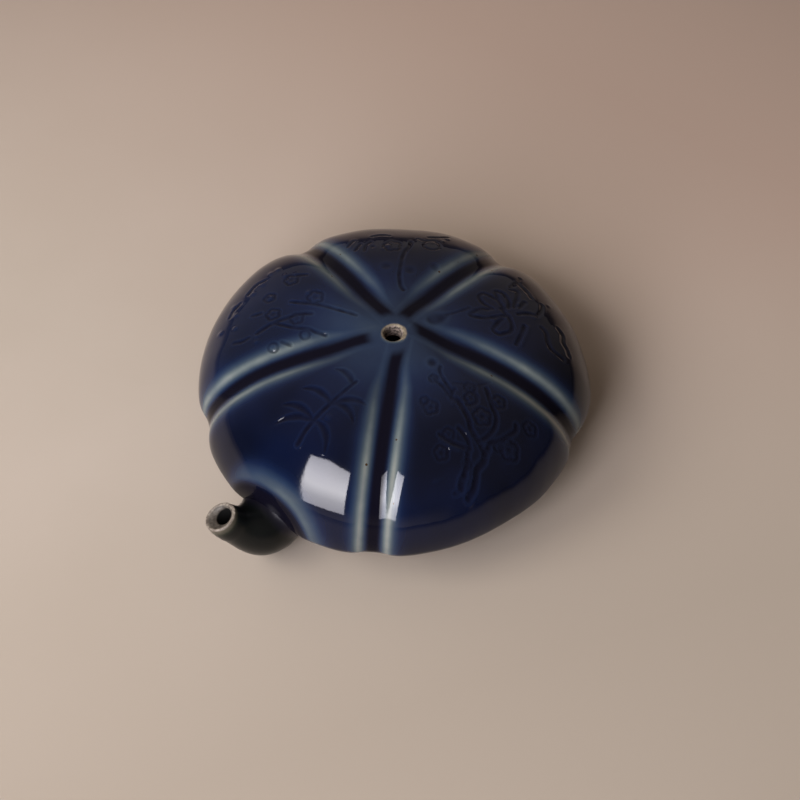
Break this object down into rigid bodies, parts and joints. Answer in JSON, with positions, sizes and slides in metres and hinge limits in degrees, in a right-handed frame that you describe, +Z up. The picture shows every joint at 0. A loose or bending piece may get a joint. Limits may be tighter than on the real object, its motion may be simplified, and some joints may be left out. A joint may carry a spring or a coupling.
{
  "type": "water dropper",
  "caption": "Melon-shaped porcelain water dropper for a writing desk, with a lobed body, an air hole in its crown and a small bulb spout.",
  "frame": {"origin": "centre of the flat base, on the table", "axes": "+Z up out of the air hole, -Y along the spout, +X to the right of the spout seen from behind it"},
  "size_m": [0.1007, 0.1144, 0.0412],
  "materials": {
    "blue_glaze": "glossy cobalt blue glaze, thin and pale along the edges of the grooves",
    "spout_glaze": "glossy dark grey-blue glaze with a pale bare lip",
    "bare_clay": "unglazed fired clay, matt"
  },
  "bodies": {
    "root": {"upper_shell": "blue_glaze", "lower_shell": "blue_glaze", "base_disc": "bare_clay", "spout": "spout_glaze"}
  },
  "joints": []
}
